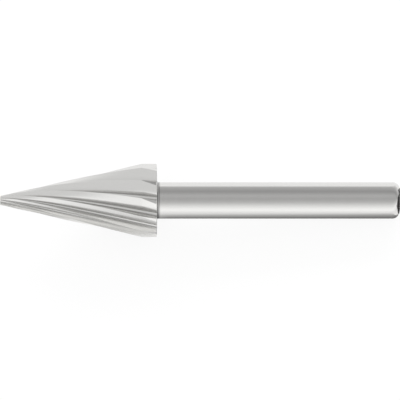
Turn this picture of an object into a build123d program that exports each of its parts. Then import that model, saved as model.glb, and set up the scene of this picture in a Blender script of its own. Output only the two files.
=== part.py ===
from build123d import *
from math import asin, atan2, cos, degrees, exp, hypot, log, radians, sin, sqrt, tan
import os

# Rotary burr with a pointed cone head: head and shank are one bar of tool steel.
# Sizes are in millimetres and angles in degrees.
# The burr is drawn upright, standing on its tip with its axis along +Z, and laid down at the end.

# Shank, held in a collet
shank_diameter = 6.0
shank_length = 39.9           # from the rim of the head to the end of the shank
end_radius = 1.3              # rounded edge of the shank's end
neck_radius = 0.25            # fillet where the shank meets the head

# Head: a cone with a blunt tip, then a short parallel rim
head_diameter = 12.0
cone_length = 23.2
rim_length = 2.5
tip_diameter = 1.5
tip_edge_radius = 0.2
rim_edge_radius = 0.1         # rounded corner between the rim and the back face
back_face_angle = 1.5         # the back face falls away towards the shank

# Teeth: right-hand cut and right-hand spiral, growing with the cone from the tip to the rim
tooth_count = 12
helix_angle = 9.15            # between a cutting edge and the cone's straight side
flute_depth = 1.1             # below the rim, at the back of the head
flute_root_radius = 0.4       # at the back of the head
land_width = 0.06             # flat left along a cutting edge of the cone, at the back of the head
section_turn = 6.0            # turn from one section of a flute to the next
root_pieces = 3               # surfaces side by side that make up the round root

# Sizes that follow from those above
shank_radius = shank_diameter / 2
head_radius = head_diameter / 2
tip_radius = tip_diameter / 2
head_length = cone_length + rim_length
burr_length = head_length + shank_length
tooth_pitch = 360 / tooth_count

# The flutes follow the cone, carried on past the rim to the back of the head.
cone_slope = (head_radius - tip_radius) / cone_length
cone_back_radius = tip_radius + cone_slope * head_length
flute_bottom_radius = head_radius - flute_depth


def polar_point(radius, turn):
    """A point at a radius from the axis, turned from +X."""
    return Vector(radius, 0).rotate(Axis.Z, turn)


def turned_blank():
    """Head and shank before the flutes are ground: one profile, turned about the axis."""
    back_face_height = (head_radius - shank_radius) * tan(radians(back_face_angle))
    corners_and_radii = [
        ((tip_radius, 0), tip_edge_radius),
        ((head_radius, cone_length), 0),
        ((head_radius, head_length), rim_edge_radius),
        ((shank_radius, head_length + back_face_height), neck_radius),
        ((shank_radius, burr_length), end_radius),
    ]
    corners = [corner for corner, radius in corners_and_radii]
    radii = [radius for corner, radius in corners_and_radii]
    outside = FilletPolyline((0, 0), *corners, (0, burr_length), radius=radii)
    axis_line = Line((0, burr_length), (0, 0))
    profile = make_face([outside, axis_line])
    return revolve(Plane.XZ * profile, Axis.Z)


def flute_root():
    """Centre, bottom and foot of the round root, in front of the cutting face one pitch round."""
    reach = flute_bottom_radius + flute_root_radius
    turn = tooth_pitch - degrees(asin(flute_root_radius / reach))
    face_foot = polar_point(sqrt(reach**2 - flute_root_radius**2), tooth_pitch)
    return polar_point(reach, turn), polar_point(flute_bottom_radius, turn), face_foot


def tooth_back():
    """Top, foot and direction of a tooth's straight back, from its land down to the round root."""
    root_centre, _, _ = flute_root()
    top = polar_point(cone_back_radius, degrees(land_width / cone_back_radius))
    to_root = root_centre - top
    off_centre = asin(flute_root_radius / to_root.length)
    turn = atan2(to_root.Y, to_root.X) + off_centre
    direction = Vector(cos(turn), sin(turn))
    foot = top + direction * (to_root.length * cos(off_centre))
    return top, foot, direction


def flute_section():
    """The groove between two teeth at the back of the head, seen along the axis.

    The back of one tooth runs down into the root, and the cutting face of the next
    stands up from it along a radius. Both run on past the teeth, so the groove is open.
    """
    _, root_bottom, face_foot = flute_root()
    back_top, back_foot, back_direction = tooth_back()
    overrun = cone_back_radius / 4
    back_end = back_top - back_direction * overrun
    face_end = polar_point(cone_back_radius + overrun, tooth_pitch)
    root = ThreePointArc(back_foot, root_bottom, face_foot)
    outline = [
        Line(back_end, back_foot),
        *[root.trim(piece / root_pieces, (piece + 1) / root_pieces) for piece in range(root_pieces)],
        Line(face_foot, face_end),
        Line(face_end, back_end),
    ]
    return make_face(outline)


def flute_cutter():
    """One flute over the whole head: its section shrinks with the cone and follows the helix."""
    section = flute_section()
    cone_half_angle = atan2(cone_slope, 1)
    turn_per_growth = degrees(tan(radians(helix_angle)) / sin(cone_half_angle))
    turn_to_tip = turn_per_growth * log(cone_back_radius / tip_radius)
    last_step = round(turn_to_tip / section_turn) + 1
    sections = []
    for step in range(-1, last_step + 1):
        turn = step * section_turn
        shrink = exp(-turn / turn_per_growth)
        height = head_length - cone_back_radius * (1 - shrink) / cone_slope
        place = Pos(0, 0, height) * Rot(0, 0, -turn)
        sections.append(place * scale(section, by=shrink))
    return loft(sections)


def upright_burr():
    """The finished burr on its tip: the flute at turn 0 repeated round the turned blank."""
    cutter = flute_cutter()
    cutters = [Rot(0, 0, tooth * tooth_pitch) * cutter for tooth in range(tooth_count)]
    return turned_blank() - cutters


def rest_turn():
    """Turn of a flute's middle at the rim, where the burr rests on the two teeth beside it."""
    top, _, direction = tooth_back()
    along = -top.dot(direction)
    heel_distance = along - sqrt(along**2 - cone_back_radius**2 + head_radius**2)
    heel = top + direction * heel_distance
    return (degrees(atan2(heel.Y, heel.X)) + tooth_pitch) / 2


def rest_tilt():
    """How far the axis leans when the burr lies on two teeth at the rim and on its shank's end."""
    half_flute = radians(tooth_pitch - rest_turn())
    rise = head_radius * cos(half_flute) - (shank_radius - end_radius)
    run = shank_length - end_radius + rim_edge_radius
    return degrees(atan2(rise, run) - asin(end_radius / hypot(rise, run)))


def lying_burr():
    """The burr at rest on the ground, tip towards -X, with the origin below its middle."""
    burr = Rot(0, 90 + rest_tilt(), 0) * Rot(0, 0, -rest_turn()) * upright_burr()
    box = burr.bounding_box()
    return Pos(-box.center().X, 0, -box.min.Z) * burr


os.makedirs("parts", exist_ok=True)
export_step(lying_burr(), "parts/rotary_burr.step")
print("rest tilt", round(rest_tilt(), 3), "degrees, rest turn", round(rest_turn(), 3), "degrees")
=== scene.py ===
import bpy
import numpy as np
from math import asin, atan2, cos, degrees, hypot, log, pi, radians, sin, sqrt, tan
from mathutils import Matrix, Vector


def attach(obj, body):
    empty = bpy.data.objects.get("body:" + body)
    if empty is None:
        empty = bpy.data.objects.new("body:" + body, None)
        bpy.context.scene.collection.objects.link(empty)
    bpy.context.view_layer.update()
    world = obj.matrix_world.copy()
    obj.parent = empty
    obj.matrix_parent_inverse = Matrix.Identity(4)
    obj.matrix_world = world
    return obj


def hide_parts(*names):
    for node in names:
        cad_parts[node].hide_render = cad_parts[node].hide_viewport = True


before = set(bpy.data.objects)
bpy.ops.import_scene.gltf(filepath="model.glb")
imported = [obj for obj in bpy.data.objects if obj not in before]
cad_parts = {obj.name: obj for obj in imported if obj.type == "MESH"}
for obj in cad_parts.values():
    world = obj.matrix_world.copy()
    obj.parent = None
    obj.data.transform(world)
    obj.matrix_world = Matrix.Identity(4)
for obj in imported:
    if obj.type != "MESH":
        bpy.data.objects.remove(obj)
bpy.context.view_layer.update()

# %% [markdown]
# # A rotary burr, ground from one bar of tool steel
# The burr is a pointed cone with twelve sharp teeth that wind round it, on a plain round shank
# that a collet holds. This lesson draws it as one skin of rings, gives each kind of ground face its
# own finish, and lights it under a soft grey roof, because polished steel shows mostly what is
# round it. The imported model, loaded above, fixes where the burr lies and how large it is.

MM = 0.001

# %% [markdown]
# ## Sizes
# The burr is drawn upright, standing on its tip, with its axis along Z and all sizes in
# millimetres. They are the sizes of the solid model, so the skin fits it. Only the backs of the
# teeth are a little fuller here than in the solid, by the size called back_crown, because the
# light on the real ones suggests that they are slightly round. That size can't be measured, and was
# chosen by comparing renders with the photograph.

# %% Sizes of the shank and the head
shank_radius = 3.0
shank_length = 39.9
end_radius = 1.3
neck_radius = 0.25
head_radius = 6.0
cone_length = 23.2
rim_length = 2.5
tip_radius = 0.75
tip_edge_radius = 0.2
rim_edge_radius = 0.1
back_face_lean = radians(1.5)
head_length = cone_length + rim_length
burr_length = head_length + shank_length
print("burr length", burr_length, "mm")

# %% Sizes of the teeth
tooth_count = 12
tooth_pitch = 2 * pi / tooth_count
helix_angle = radians(9.15)
flute_depth = 1.1
flute_root_radius = 0.4
land_width = 0.06
back_crown = 0.3
cone_slope = (head_radius - tip_radius) / cone_length
cone_lean = atan2(cone_slope, 1)
cone_back_radius = tip_radius + cone_slope * head_length
turn_per_growth = tan(helix_angle) / sin(cone_lean)
turn_to_tip = turn_per_growth * log(cone_back_radius / tip_radius)
print("a tooth turns", round(degrees(turn_to_tip), 1), "degrees from rim to tip")

# %% [markdown]
# ## The blank
# On the real tool the head and shank are first turned and ground round, and only then fluted.
# The blank's side is therefore one line, walked here from the tip to the rim as pairs of radius
# and height. A corner that the grinder rounds is a short arc, drawn by one helper. A Screw
# modifier could turn such a line into a round body, but the head needs a toothed outline at each
# height, so the lesson makes its rings itself.

# %% A rounded corner of the blank
def corner_arc(centre, radius, first, last, points):
    """Points on an arc as (radius, height) pairs, from one direction to another."""
    turns = np.linspace(first, last, points)
    return [(centre[0] + radius * cos(t), centre[1] + radius * sin(t)) for t in turns]

# %% The head's side, from the tip to the rim's rounded corner
tip_tangent = tip_edge_radius * tan((pi / 2 - cone_lean) / 2)
tip_centre = (tip_radius - tip_tangent, tip_edge_radius)
tip_corner = corner_arc(tip_centre, tip_edge_radius, -pi / 2, -cone_lean, 7)
cone_radii = np.geomspace(tip_corner[-1][0], head_radius, 110)[1:]
cone_side = [(r, (r - tip_radius) / cone_slope) for r in cone_radii]

rim_tangent = rim_edge_radius / tan(pi / 4 + back_face_lean / 2)
rim_centre = (head_radius - rim_edge_radius, head_length - rim_tangent)
rim_side = [(head_radius, h) for h in np.linspace(cone_length, rim_centre[1], 15)[1:]]
rim_corner = corner_arc(rim_centre, rim_edge_radius, 0, pi / 2 - back_face_lean, 6)[1:]
head_side = tip_corner + cone_side + rim_side
print(len(head_side) + len(rim_corner), "rings on the head")

# %% [markdown]
# ## One tooth
# Seen along the axis, a tooth is a thin land at the full radius, a slightly crowned back that falls
# away behind it, a small round root, and the cutting face of the next tooth, which stands along a
# radius. A grinding wheel leaves all of them in one pass. They could be cut from the blank with a
# Boolean, but points worked out from the formulas give clean, even faces that take light well.
#
# The crown is added to a straight back. It is nothing at both ends of the back and largest past
# its middle, so the edges that the burr rests on stay where the solid has them.

# %% The groove at the back of the head
def polar(radius, turn):
    """A point across the axis, as a complex number."""
    return radius * np.exp(1j * turn)

root_reach = head_radius - flute_depth + flute_root_radius
root_centre = polar(root_reach, tooth_pitch - asin(flute_root_radius / root_reach))
face_foot = polar(sqrt(root_reach**2 - flute_root_radius**2), tooth_pitch)
back_top = polar(cone_back_radius, land_width / cone_back_radius)
to_root = root_centre - back_top
off_centre = asin(flute_root_radius / abs(to_root))
back_direction = polar(1, np.angle(to_root) + off_centre)
back_foot = back_top + back_direction * abs(to_root) * cos(off_centre)
print("tooth back is", round(abs(back_foot - back_top), 2), "mm long before the rim cuts it short")

# %% The outline of a tooth inside a circle
land_steps, back_steps, root_steps, face_steps = 4, 10, 9, 6
steps = land_steps + back_steps + root_steps + face_steps
crown_scale = 2.1  # makes the highest point of the crown's curve about 1

def heel_in(radius):
    """Where a tooth's back leaves the circle of the blank."""
    along = -(back_top * back_direction.conjugate()).real
    return back_top + back_direction * (along - sqrt(along**2 - cone_back_radius**2 + radius**2))

def tooth_outline(radius):
    """Points from one cutting edge to the next, over land, back, root and cutting face."""
    heel = heel_in(radius)
    land = polar(radius, np.linspace(0, np.angle(heel), land_steps, endpoint=False))
    share = np.linspace(0, 1, back_steps, endpoint=False)
    crown = back_crown * abs(back_foot - heel) / abs(back_foot - back_top)
    bulge = crown * crown_scale * share * (1 - share**3)
    back = heel + (back_foot - heel) * share - 1j * back_direction * bulge
    first, last = np.angle([back_foot - root_centre, face_foot - root_centre]) % (2 * pi)
    root = root_centre + polar(flute_root_radius, np.linspace(first, last, root_steps, endpoint=False))
    face = np.linspace(face_foot, polar(radius, tooth_pitch), face_steps + 1)
    return np.concatenate([land, back, root, face])

sample = tooth_outline(head_radius)
print(len(sample), "points, root at radius", round(abs(sample).min(), 3), "mm")

# %% [markdown]
# ## Rings of the head
# Every size of a tooth shrinks with the cone, and its turn round the axis goes with the logarithm
# of that shrinking. That keeps the same angle between a tooth and the side of the cone all the
# way. Each ring is the outline for its place on the blank, scaled, turned and repeated twelve times.
# A Simple Deform modifier could twist a cone with straight teeth, but it turns evenly with the
# height, and the teeth would straighten towards the tip.

# %% One ring of teeth
def teeth_at(radius, heights):
    """Twelve teeth as an array of (tooth, point, XYZ), where the blank has this radius."""
    growth = (tip_radius + cone_slope * heights) / cone_back_radius
    outline = tooth_outline(radius / np.mean(growth))
    across = outline * growth * np.exp(1j * turn_per_growth * np.log(growth))
    teeth = across * np.exp(1j * tooth_pitch * np.arange(tooth_count))[:, None]
    return np.stack([teeth.real, teeth.imag, np.broadcast_to(heights, teeth.shape)], axis=-1)

def bottom_distance(radius, heights):
    """How far each point lies from the foot of the tooth's back, along the outline."""
    growth = (tip_radius + cone_slope * heights) / cone_back_radius
    outline = tooth_outline(radius / np.mean(growth))
    walked = np.concatenate([[0], np.cumsum(abs(np.diff(outline)))])
    return (walked - walked[land_steps + back_steps]) * growth

rings = []
walks = []
for radius, height in head_side:
    heights = np.full(steps + 1, height)
    rings.append(teeth_at(radius, heights))
    walks.append(bottom_distance(radius, heights))
print(len(rings), "rings of", tooth_count, "x", steps, "points")

# %% The rings that round the rim's corner and reach the back face
last_radius, last_height = rim_corner[-1]
for number, (radius, height) in enumerate(rim_corner, start=1):
    heights = np.full(steps + 1, height)
    # The heights follow from the radii and the radii from the heights, so both settle in a few steps.
    for repeat in range(3):
        radii = np.hypot(*teeth_at(radius, heights)[0, :, :2].T)
        drop = np.clip(last_radius - radii, 0, None) * tan(back_face_lean)
        heights = height + drop * number / len(rim_corner)
    rings.append(teeth_at(radius, heights))
    walks.append(bottom_distance(radius, heights))
head_rings = len(rings)
print("back face of the head starts at height", round(last_height, 3), "mm")

# %% [markdown]
# ## Back face, shank and its end
# Behind the teeth the burr is round, so each further ring is a circle. The back face joins the
# toothed ring to the first circle in a few steps, and the neck, shank and rounded end follow as
# one turned line. Keeping the same number of points in each ring makes the whole burr one skin. A
# cylinder pushed into the head would be easier, but would show a seam where the real neck has a
# small fillet. The rings lie closer together just behind the neck, where the finish will change.

# %% Circles with as many points as a toothed ring
around = tooth_pitch * (np.arange(tooth_count)[:, None] + np.arange(steps + 1) / steps)
turn_at_back = turn_per_growth * log((tip_radius + cone_slope * last_height) / cone_back_radius)

def circle_ring(radius, height):
    """One round ring behind the teeth."""
    circle = polar(radius, around + turn_at_back)
    return np.stack([circle.real, circle.imag, np.full(circle.shape, height)], axis=-1)

neck_tangent = neck_radius / tan(pi / 4 + back_face_lean / 2)
neck_height = head_length + (head_radius - shank_radius) * tan(back_face_lean)
neck_centre = (shank_radius + neck_radius, neck_height + neck_tangent)
neck = corner_arc(neck_centre, neck_radius, -pi / 2 - back_face_lean, -pi, 7)

toothed = rings[-1]
inner = circle_ring(*neck[0])
back_shares = (0.3, 0.6, 0.85)
for share in back_shares:
    rings.append(toothed + (inner - toothed) * share)
end_centre = (shank_radius - end_radius, burr_length - end_radius)
shank_start = neck[-1][1]
shank_side = [(shank_radius, shank_start + step) for step in (0.1, 0.2, 0.35, 0.5, 0.75, 1, 1.5)]
shank_side += [(shank_radius, h) for h in np.linspace(shank_start + 2, end_centre[1], 23)]
end_corner = corner_arc(end_centre, end_radius, 0, pi / 2, 17)[1:]
end_face = [(end_corner[-1][0] * share, burr_length) for share in (0.66, 0.33)]
for radius, height in neck + shank_side + end_corner + end_face:
    rings.append(circle_ring(radius, height))
print(len(rings), "rings from the tip to the end")

# %% [markdown]
# ## Laying the burr down
# A loose burr rests on two neighbouring teeth at the rim and on the rounded end of its shank, so
# its axis leans a little and the tip is in the air. The turn that brings the middle of a groove
# underneath and the lean both follow from the sizes. A rigid body simulation would find them too,
# but less exactly, and the skin has to lie where the solid does.

# %% How the burr lies
heel_turn = float(np.angle(heel_in(head_radius)))
rest_turn = (heel_turn + tooth_pitch) / 2
rise = head_radius * cos(tooth_pitch - rest_turn) - (shank_radius - end_radius)
run = shank_length - end_radius + rim_edge_radius
rest_tilt = atan2(rise, run) - asin(end_radius / hypot(rise, run))
lay_down = Matrix.Rotation(pi / 2 + rest_tilt, 4, "Y") @ Matrix.Rotation(-rest_turn, 4, "Z")
print("lean", round(degrees(rest_tilt), 3), "degrees, turn", round(degrees(rest_turn), 3), "degrees")

# %% [markdown]
# ## The skin
# Neighbouring rings are joined by four-sided faces, and the two ends close with triangles. The
# points are drawn on the upright burr and then laid down together, so the upright places stay at
# hand for the finishes. The faces could be added one by one with bmesh, but whole arrays of them
# are shorter and quicker. Edges sharper than 28 degrees stay crisp, and the rest is shaded smooth.

# %% Points and faces
tip_rings = [rings[0] * [share, share, 1] for share in (0.33, 0.66)]
rings = tip_rings + rings
walks = [walks[0] * 0] * len(tip_rings) + walks
points_round = tooth_count * steps
upright = np.concatenate([ring[:, :-1].reshape(-1, 3) for ring in rings])
poles = np.array([[0, 0, 0], [0, 0, burr_length]])
upright = np.concatenate([upright, poles])
here = np.arange(points_round)
beside = np.roll(here, -1)

def ring_faces(number):
    """Four-sided faces between a ring and the next."""
    first, second = number * points_round, (number + 1) * points_round
    return np.stack([first + here, first + beside, second + beside, second + here], axis=-1)

sides = np.concatenate([ring_faces(n) for n in range(len(rings) - 1)])
last_ring = (len(rings) - 1) * points_round
tip_pole, end_pole = len(upright) - 2, len(upright) - 1
tip_fan = [(int(b), int(a), tip_pole) for a, b in zip(here, beside)]
end_fan = [(int(last_ring + a), int(last_ring + b), end_pole) for a, b in zip(here, beside)]
print(len(sides), "sides,", len(upright), "points")

# %% The mesh, laid on the floor where the solid lies
turn_matrix = np.array(lay_down.to_3x3())
lying = upright @ turn_matrix.T * MM
middle = (lying[:, 0].min() + lying[:, 0].max()) / 2
shift = np.array([-middle, 0, -lying[:, 2].min()])
lying += shift

skin = bpy.data.meshes.new("ground_burr")
skin.from_pydata(lying.tolist(), [], sides.tolist() + tip_fan + end_fan)
skin.update()
burr = bpy.data.objects.new("ground_burr", skin)
bpy.context.collection.objects.link(burr)
skin.shade_smooth()
skin.set_sharp_from_angle(angle=radians(28))
print("skin box in mm", np.round(lying.min(axis=0) / MM, 3), np.round(lying.max(axis=0) / MM, 3))

# %% [markdown]
# ## Places for the finishes
# A grinding or turning line runs where the tool ran: round the shank, in circles on the back face,
# and along each flute. A picture wrapped round the part would need a seam. Instead the skin
# carries numbers that say where each point lies for each tool, and the finishes read them.

# %% Where each point stood on the upright burr
def point_numbers(name, kind, values):
    """Stores one number or one triple for each point of the skin."""
    attribute = skin.attributes.new(name, kind, "POINT")
    field = "vector" if kind == "FLOAT_VECTOR" else "value"
    attribute.data.foreach_set(field, np.asarray(values, np.float32).ravel())
    print(name, "goes from", round(float(values.min()), 2), "to", round(float(values.max()), 2))

point_numbers("upright", "FLOAT_VECTOR", upright)

# %% Where each point stood for a turning tool: outwards and along in one number, then across
across_axis = np.hypot(upright[:, 0], upright[:, 1])
turned = np.stack([across_axis + upright[:, 2], upright[:, 0], upright[:, 1]], axis=-1)
point_numbers("turned", "FLOAT_VECTOR", turned)

# %% How deep each point lies in its flute: 0 at the surface of the blank, 1 at the bottom. It sets the painted shade in the flutes
heights = upright[:, 2]
blank_heights = [0, cone_length, head_length]
blank_radius = np.interp(heights, blank_heights, [tip_radius, head_radius, head_radius])
bottom_share = abs(tooth_outline(cone_back_radius)).min() / cone_back_radius
bottom_radius = (tip_radius + cone_slope * heights) * bottom_share
shade_depths = np.clip((blank_radius - across_axis) / (blank_radius - bottom_radius), 0, 1)

# %% Behind the head the same number fades out in the first half millimetre of the shank, so the painted shade reaches into the corner of the neck
behind_head = heights > head_length
shade_depths[behind_head] = np.interp(heights[behind_head] - shank_start, [0, 0.5], [1, 0])
point_numbers("depth", "FLOAT", shade_depths)

# %% Where each corner lies along and across its flute
def flute_corners():
    """(along, across, tooth) for the four corners of every side face, in ring order."""
    corners = []
    tooth_numbers = np.arange(tooth_count)[:, None]
    for n in range(len(rings) - 1):
        four = []
        for ring, column in ((n, 0), (n, 1), (n + 1, 1), (n + 1, 0)):
            walk = walks[ring] if ring < len(walks) else np.zeros(steps + 1)
            height = rings[ring][:, column:column + steps, 2]
            across = np.broadcast_to(walk[column:column + steps], height.shape)
            four.append(np.stack([height, across, tooth_numbers + 0 * height], axis=-1))
        corners.append(np.stack(four, axis=2).reshape(-1, 3))
    return np.concatenate(corners)

flute = skin.attributes.new("flute", "FLOAT_VECTOR", "CORNER")
corner_values = np.zeros((len(skin.loops), 3), np.float32)
side_values = flute_corners()
corner_values[:len(side_values)] = side_values
flute.data.foreach_set("vector", corner_values.ravel())
print(len(side_values), "corners carry flute lines")

# %% [markdown]
# ## Finishes
# All faces are the same steel. They differ in the marks left by the tool, and a little in their
# grey. Noise that is stretched along the direction of the tool makes the fine lines: it varies the
# polish a little and lifts the surface by about a thousandth of a millimetre. Unlike a picture it
# shows no seam and stays sharp from close by.
#
# Deep in a flute, and in the corner of the neck, the colour gets darker: this is painted shade,
# for the shade that the teeth and the head's back face cast there. All the greys were chosen for
# likeness to the photograph.

# %% The colour of the steel
def steel_colour(grey):
    """A grey with the slight warmth of tool steel."""
    return (grey * 1.006, grey, grey * 0.982, 1)

print("bright steel", [round(v, 3) for v in steel_colour(0.74)])

# %% A helper for steel with fine grinding lines
def ground_steel(name, greys, place_name, stretch, roughness, depth):
    """Steel with tool marks, made from numbers that the skin carries.

    The greys are those at the surface of the blank and at the bottom of a flute, where the second
    is painted shade. The lines run where stretch is small, on the places called place_name. Depth is
    their height in mm.
    """
    steel = bpy.data.materials.new(name)
    steel.use_nodes = True
    nodes, links = steel.node_tree.nodes, steel.node_tree.links
    shader = nodes["Principled BSDF"]
    shader.inputs["Metallic"].default_value = 1

    # Painted shade: the grey darkens with the depth of a point in its flute and at the neck.
    depth_for_shade = nodes.new("ShaderNodeAttribute")
    depth_for_shade.attribute_name = "depth"
    painted_shade = nodes.new("ShaderNodeValToRGB")
    painted_shade.color_ramp.interpolation = "EASE"
    first_shaded_depth = 0.4
    for stop, position, grey in zip(painted_shade.color_ramp.elements, (first_shaded_depth, 1), greys):
        stop.position = position
        stop.color = steel_colour(grey)
    links.new(depth_for_shade.outputs["Fac"], painted_shade.inputs["Fac"])
    links.new(painted_shade.outputs["Color"], shader.inputs["Base Color"])

    coordinates = nodes.new("ShaderNodeAttribute")
    coordinates.attribute_name = place_name
    stretched = nodes.new("ShaderNodeMapping")
    stretched.inputs["Scale"].default_value = stretch
    links.new(coordinates.outputs["Vector"], stretched.inputs["Vector"])
    lines = nodes.new("ShaderNodeTexNoise")
    lines.inputs["Scale"].default_value = 1
    lines.inputs["Detail"].default_value = 4
    links.new(stretched.outputs["Vector"], lines.inputs["Vector"])

    # Most of the noise lies between 0.3 and 0.7. The roughness varies by a quarter either way.
    polish = nodes.new("ShaderNodeMapRange")
    polish.inputs["From Min"].default_value = 0.3
    polish.inputs["From Max"].default_value = 0.7
    polish.inputs["To Min"].default_value = roughness * 0.75
    polish.inputs["To Max"].default_value = roughness * 1.25
    links.new(lines.outputs["Fac"], polish.inputs["Value"])
    links.new(polish.outputs["Result"], shader.inputs["Roughness"])

    scratches = nodes.new("ShaderNodeBump")
    scratches.inputs["Strength"].default_value = 1
    scratches.inputs["Distance"].default_value = depth * MM
    links.new(lines.outputs["Fac"], scratches.inputs["Height"])
    links.new(scratches.outputs["Normal"], shader.inputs["Normal"])
    return steel

# %% The finishes of the burr: name, greys (at the surface, then the painted shade deep down), places of the lines, their stretch, roughness, height
finishes = [
    ground_steel("ground_shank_steel", (0.74, 0.35), "upright", (0.35, 0.35, 9), 0.17, 0.0006),
    ground_steel("ground_flute_steel", (0.74, 0.66), "flute", (0.1, 14, 7.3), 0.2, 0.0008),
    ground_steel("ground_face_steel", (0.84, 0.42), "flute", (0.1, 14, 7.3), 0.24, 0.001),
    ground_steel("turned_back_steel", (0.6, 0.6), "turned", (12, 0.3, 0.3), 0.28, 0.001),
    ground_steel("turned_end_steel", (0.66, 0.66), "turned", (12, 0.3, 0.3), 0.5, 0.0015),
]
for finish in finishes:
    skin.materials.append(finish)
print([finish.name for finish in finishes])

# %% [markdown]
# ## Dressing the skin
# Each face of the skin gets one of the five finishes by its place in the rings. Across a tooth
# they are land, back with most of the root, and cutting face with the rest of the root. The land
# has the shank's finish, because both were ground round on the blank. The head's back face and
# the shank's flat end have their own. The dressed skin then takes the solid's place.

# %% Which face gets which finish
SHANK, FLUTE, FACE, BACK, END = range(len(finishes))
face_start = land_steps + back_steps + root_steps * 2 // 3
tooth_columns = np.tile(np.arange(steps), tooth_count)
across_teeth = np.array([SHANK, FLUTE, FACE])[np.digitize(tooth_columns, [land_steps, face_start])]
back_start = len(tip_rings) + head_rings - 1
shank_start_ring = back_start + len(back_shares) + 1
end_start = len(rings) - 1 - len(end_face)

face_finish = np.full(len(skin.polygons), SHANK, np.int32)
face_finish[:back_start * points_round] = np.tile(across_teeth, back_start)
face_finish[back_start * points_round:shank_start_ring * points_round] = BACK
face_finish[end_start * points_round:len(sides)] = END
face_finish[-points_round:] = END
skin.polygons.foreach_set("material_index", face_finish)
print("faces per finish", np.bincount(face_finish))

# %% The skin stands for the solid
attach(burr, "root")
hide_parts("rotary_burr")
print(burr.name, "replaces the solid, with", len(skin.polygons), "faces")

# %% [markdown]
# ## The floor
# The burr lies on a plain white sheet. For the camera and for reflections most of its white is
# its own, at the level where white is just white, and the rest is lit, so that it keeps a soft
# shadow. For the light that it gives back to the room, it is an ordinary sheet of paper. More
# light could make it white as well, but the burr would take that light too.

# %% A helper for flat panels
def flat_panel(name, corners):
    """One rectangular panel of the set, from its four corners in metres."""
    mesh = bpy.data.meshes.new(name)
    mesh.from_pydata(corners, [], [(0, 1, 2, 3)])
    panel = bpy.data.objects.new(name, mesh)
    bpy.context.collection.objects.link(panel)
    return panel

# %% A white sheet
sheet_half = 4.0
sides_of_middle = ((-1, -1), (1, -1), (1, 1), (-1, 1))
sheet = flat_panel("white_sheet", [(x * sheet_half, y * sheet_half, 0) for x, y in sides_of_middle])
print("sheet", 2 * sheet_half, "m wide")

# %% Its paper
paper = bpy.data.materials.new("white_paper")
paper.use_nodes = True
nodes, links = paper.node_tree.nodes, paper.node_tree.links
nodes.clear()
lit = nodes.new("ShaderNodeBsdfDiffuse")
lit.inputs["Color"].default_value = (0.95, 0.95, 0.95, 1)
own = nodes.new("ShaderNodeEmission")
own.inputs["Color"].default_value = (1, 1, 1, 1)
own.inputs["Strength"].default_value = 1
rays = nodes.new("ShaderNodeLightPath")
seen = nodes.new("ShaderNodeMath")
seen.operation = "MAXIMUM"
own_share = nodes.new("ShaderNodeMath")
own_share.operation = "MULTIPLY"
own_share.inputs[1].default_value = 0.85
mix = nodes.new("ShaderNodeMixShader")
output = nodes.new("ShaderNodeOutputMaterial")
links.new(rays.outputs["Is Camera Ray"], seen.inputs[0])
links.new(rays.outputs["Is Glossy Ray"], seen.inputs[1])
links.new(seen.outputs["Value"], own_share.inputs[0])
links.new(own_share.outputs["Value"], mix.inputs["Fac"])
links.new(lit.outputs["BSDF"], mix.inputs[1])
links.new(own.outputs["Emission"], mix.inputs[2])
links.new(mix.outputs["Shader"], output.inputs["Surface"])
sheet.data.materials.append(paper)
print("own white", own_share.inputs[1].default_value, "of what the camera and reflections see")

# %% [markdown]
# ## The white room and the grey roof
# Polished steel has almost no colour of its own: a white room alone would make it vanish. The
# photographer's answer is grey cloth over it. Here the roof is half a tube along the burr, with
# the white room past its ends. It is darkest over the shank, paler over the head, and brightest
# low down in front. A few stops of lightness for each zone are enough, because the fine grinding
# blurs what the steel shows. They follow the light and dark bands that the photograph shows on
# the shank and the teeth, and were adjusted by comparing renders with it.
#
# The camera looks through the roof, and the roof must not darken the floor. So only reflections
# see it, and the room still lights the sheet.

# %% The room
room = bpy.data.worlds.new("white_room")
room.use_nodes = True
room.node_tree.nodes["Background"].inputs["Color"].default_value = (1, 1, 1, 1)
room.node_tree.nodes["Background"].inputs["Strength"].default_value = 1
bpy.context.scene.world = room
print("room strength", room.node_tree.nodes["Background"].inputs["Strength"].default_value)

# %% A helper for what only reflections see
def only_in_reflections(panel):
    """Hides a panel from the camera and from the light on the sheet."""
    panel.visible_camera = False
    panel.visible_diffuse = False
    panel.visible_shadow = False

# %% A helper for cloth that is lighter in some places than in others
def graded_cloth(name, points, levels):
    """A grid of cloth that only reflections see, with its own lightness at each point."""
    rows, columns = levels.shape
    corner = (np.arange(rows - 1)[:, None] * columns + np.arange(columns - 1)).ravel()
    faces = np.stack([corner, corner + 1, corner + columns + 1, corner + columns], axis=-1)
    mesh = bpy.data.meshes.new(name)
    mesh.from_pydata(points.reshape(-1, 3).tolist(), [], faces.tolist())
    mesh.shade_smooth()
    lightness = mesh.attributes.new("lightness", "FLOAT", "POINT")
    lightness.data.foreach_set("value", levels.astype(np.float32).ravel())
    panel = bpy.data.objects.new(name, mesh)
    bpy.context.collection.objects.link(panel)
    only_in_reflections(panel)

    cloth = bpy.data.materials.new(name + "_cloth")
    cloth.use_nodes = True
    nodes, links = cloth.node_tree.nodes, cloth.node_tree.links
    nodes.clear()
    cloth_level = nodes.new("ShaderNodeAttribute")
    cloth_level.attribute_name = "lightness"
    glow = nodes.new("ShaderNodeEmission")
    output = nodes.new("ShaderNodeOutputMaterial")
    links.new(cloth_level.outputs["Fac"], glow.inputs["Strength"])
    links.new(glow.outputs["Emission"], output.inputs["Surface"])
    mesh.materials.append(cloth)
    print(name, "goes from lightness", round(levels.min(), 2), "to", round(levels.max(), 2))

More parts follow.
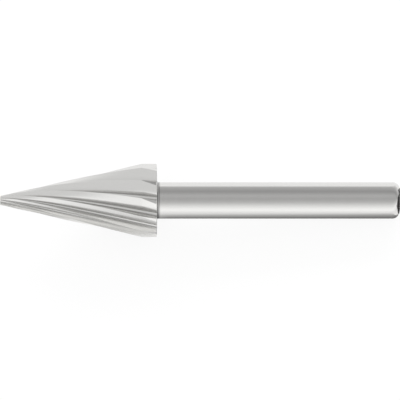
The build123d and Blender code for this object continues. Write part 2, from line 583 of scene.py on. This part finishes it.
# %% The shape of the roof: turns go from the back over the top to the front, in degrees
roof_radius = 0.4
roof_turns = np.linspace(-87, 88, 60)
left_places = np.linspace(-0.4, -0.1, 8)
middle_places = np.linspace(-0.09, 0.12, 43)
right_places = np.linspace(0.15, 0.4, 7)
roof_places = np.concatenate([left_places, middle_places, right_places])
turns, places = np.meshgrid(roof_turns, roof_places)
roof_heights = roof_radius * np.cos(np.radians(turns))
roof_depths = -roof_radius * np.sin(np.radians(turns))
roof_points = np.stack([places + roof_heights * tan(rest_tilt), roof_depths, roof_heights], axis=-1)
print("roof", 2 * roof_radius, "m wide, leaning with the burr")

# %% Its lightness over the tip, the head, the shank and the shank's end
tip_levels = (
    [-87, -72, -55, 34, 46, 54, 66, 88],
    [1.0, 0.88, 0.79, 0.79, 0.93, 1.04, 1.1, 1.07],
)
head_levels = (
    [-87, -60, -44, -28, -14, 4, 36, 50, 88],
    [1.0, 0.78, 0.8, 0.85, 0.84, 0.84, 0.8, 1.3, 1.4],
)
shank_levels = (
    [-87, -80, -68, -44, -18, 4, 24, 48, 58, 72, 88],
    [0.7, 0.52, 0.46, 0.35, 0.52, 0.45, 0.58, 0.92, 1.04, 1.2, 1.12],
)
end_levels = (
    [-87, -60, -28, -10, 20, 36, 60, 88],
    [1.0, 0.85, 1.0, 0.95, 1.1, 1.2, 1.2, 1.1],
)
levels = np.interp(turns, *tip_levels)
for next_levels, start, end in (
    (head_levels, -0.15, -0.1),
    (shank_levels, -0.06, -0.03),
    (end_levels, 0.08, 0.11),
):
    blend = np.clip((places - start) / (end - start), 0, 1)
    levels += (np.interp(turns, *next_levels) - levels) * blend
graded_cloth("grey_roof", roof_points, levels)

# %% [markdown]
# ## Cards
# A bar of bright steel on white paper loses its lower edge and its end, so cards lie beside it,
# seen only in reflections. The one on the floor in front is a painted shadow: it stands in for the
# shadow that the burr throws on the sheet, darkens towards the shank and gives it a dark lower
# edge. It is paler beside the head. A small one stands just beyond the shank's end, so that the
# rounded edge shows the same bands as the shank. Its foot is higher in front, where the edge shows
# a little of the white room below it. A black one draws the thin dark line round the end.

# %% A painted shadow on the floor in front: a grey card, lighter with the distance from the burr's axis
# Painted shadow: this card stands in for the burr's own shadow on the sheet, seen only in reflections.
distances = np.array([0.003, 0.0055, 0.0075, 0.012, 0.0155, 0.02, 0.03, 0.045])
shadow_levels = np.array([0.2, 0.25, 0.38, 0.54, 0.7, 0.8, 0.92, 1.0])
distances, card_places = np.meshgrid(distances, np.linspace(-0.06, 0.034, 20))
card_points = np.stack([card_places, -distances, np.full(distances.shape, 0.0003)], axis=-1)
rim_place, fade, paler_share = -0.008, 0.004, 0.7
paler = paler_share * np.clip((rim_place - card_places) / fade, 0, 1)
graded_cloth("painted_floor_shadow", card_points, shadow_levels + (1 - shadow_levels) * paler)

# %% A small card beyond the shank's end, graded like the roof as seen from the rounded edge
card_place, card_top, edge_height = 0.0375, 0.032, 0.0045
foot_in_front, foot_behind, foot_change = 0.0066, 0.002, 0.003
card_sides, height_shares = np.meshgrid(np.linspace(-0.03, 0.03, 41), np.linspace(0, 1, 21))
card_feet = np.interp(card_sides, [0, foot_change], [foot_in_front, foot_behind])
card_heights = card_feet + (card_top - card_feet) * height_shares
card_points = np.stack([np.full(card_sides.shape, card_place), card_sides, card_heights], axis=-1)
card_turns = np.degrees(np.arctan2(-card_sides, card_heights - edge_height))
graded_cloth("end_card", card_points, np.interp(card_turns, *shank_levels))

# %% A black card beyond the shank's end, a fan on the floor that is folded up at its far side
near, far, foot, top = 0.0335, 0.09, 0.0008, 0.01
near_half, far_half = 0.003, 0.035
near_left, near_right = (near, -near_half, foot), (near, near_half, foot)
far_left, far_right = (far, -far_half, foot), (far, far_half, foot)
top_left, top_right = (far, -far_half, top), (far, far_half, top)
card = flat_panel("black_card", [near_left, far_left, far_right, near_right])
card_up = flat_panel("black_card_upright", [far_left, top_left, top_right, far_right])
felt = bpy.data.materials.new("black_felt")
felt.use_nodes = True
felt.node_tree.nodes["Principled BSDF"].inputs["Base Color"].default_value = (0.01, 0.01, 0.01, 1)
felt.node_tree.nodes["Principled BSDF"].inputs["Roughness"].default_value = 0.9
for panel in (card, card_up):
    panel.data.materials.append(felt)
    only_in_reflections(panel)
print("black card", round(far - near, 4), "m long")

# %% [markdown]
# ## The lamp
# The room gives nearly all the light. One weak, wide lamp behind the burr is enough to put its
# soft shadow in front of it on the sheet. Reflections don't show the lamp.

# %% One soft lamp from the back
lamp_data = bpy.data.lights.new("window_lamp", "AREA")
lamp_data.shape = "RECTANGLE"
lamp_data.size, lamp_data.size_y = 0.4, 0.12
lamp_data.energy = 0.6
lamp = bpy.data.objects.new("window_lamp", lamp_data)
lamp.location = (0, 0.25, 0.14)
lamp.rotation_euler = (Vector((0, 0, 0)) - lamp.location).to_track_quat("-Z", "Y").to_euler()
lamp.visible_glossy = False
bpy.context.collection.objects.link(lamp)
print("lamp", lamp_data.energy, "W")

# %% [markdown]
# ## The camera
# The photograph looks square onto the burr's axis from above, a little from the front, with no
# visible perspective. An orthographic camera does this. Its direction is turned off the upright
# of the leaning axis until the cutting edge nearest the middle sits where it does in the picture.

# %% Camera square to the axis
axis = Vector((cos(rest_tilt), 0, -sin(rest_tilt)))
upwards = Vector((sin(rest_tilt), 0, cos(rest_tilt)))
front = Vector((0, -1, 0))
view_turn = radians(11.9)
towards = upwards * cos(view_turn) + front * sin(view_turn)
picture_up = towards.cross(axis)
print("camera direction", [round(v, 3) for v in towards])

# %% How much of the burr the picture shows: the tip is at its left edge, just below the middle
pixel = MM / 6.1
picture_width, tip_below_middle = 400 * pixel, 0.4 * pixel
tip = Vector(lying[tip_pole])
centre = tip + axis * (picture_width / 2) + picture_up * tip_below_middle
camera_data = bpy.data.cameras.new("camera")
camera_data.type = "ORTHO"
camera_data.ortho_scale = picture_width
camera = bpy.data.objects.new("camera", camera_data)
bpy.context.collection.objects.link(camera)
turn_of_camera = Matrix((axis, picture_up, towards)).transposed().to_4x4()
camera_distance = 0.3
camera.matrix_world = Matrix.Translation(centre + towards * camera_distance) @ turn_of_camera
camera_data.clip_start, camera_data.clip_end = 0.01, 20
bpy.context.scene.camera = camera
bpy.context.scene.view_settings.view_transform = "Standard"
print("camera looks down from", [round(v, 3) for v in camera.location])

# %% [markdown]
# ## The end
# The skin has to fill the same box as the solid, apart from the coarseness of the solid's own
# facets, which is a few thousandths of a millimetre.

# %% Bringing the scene up to date
bpy.context.view_layer.update()
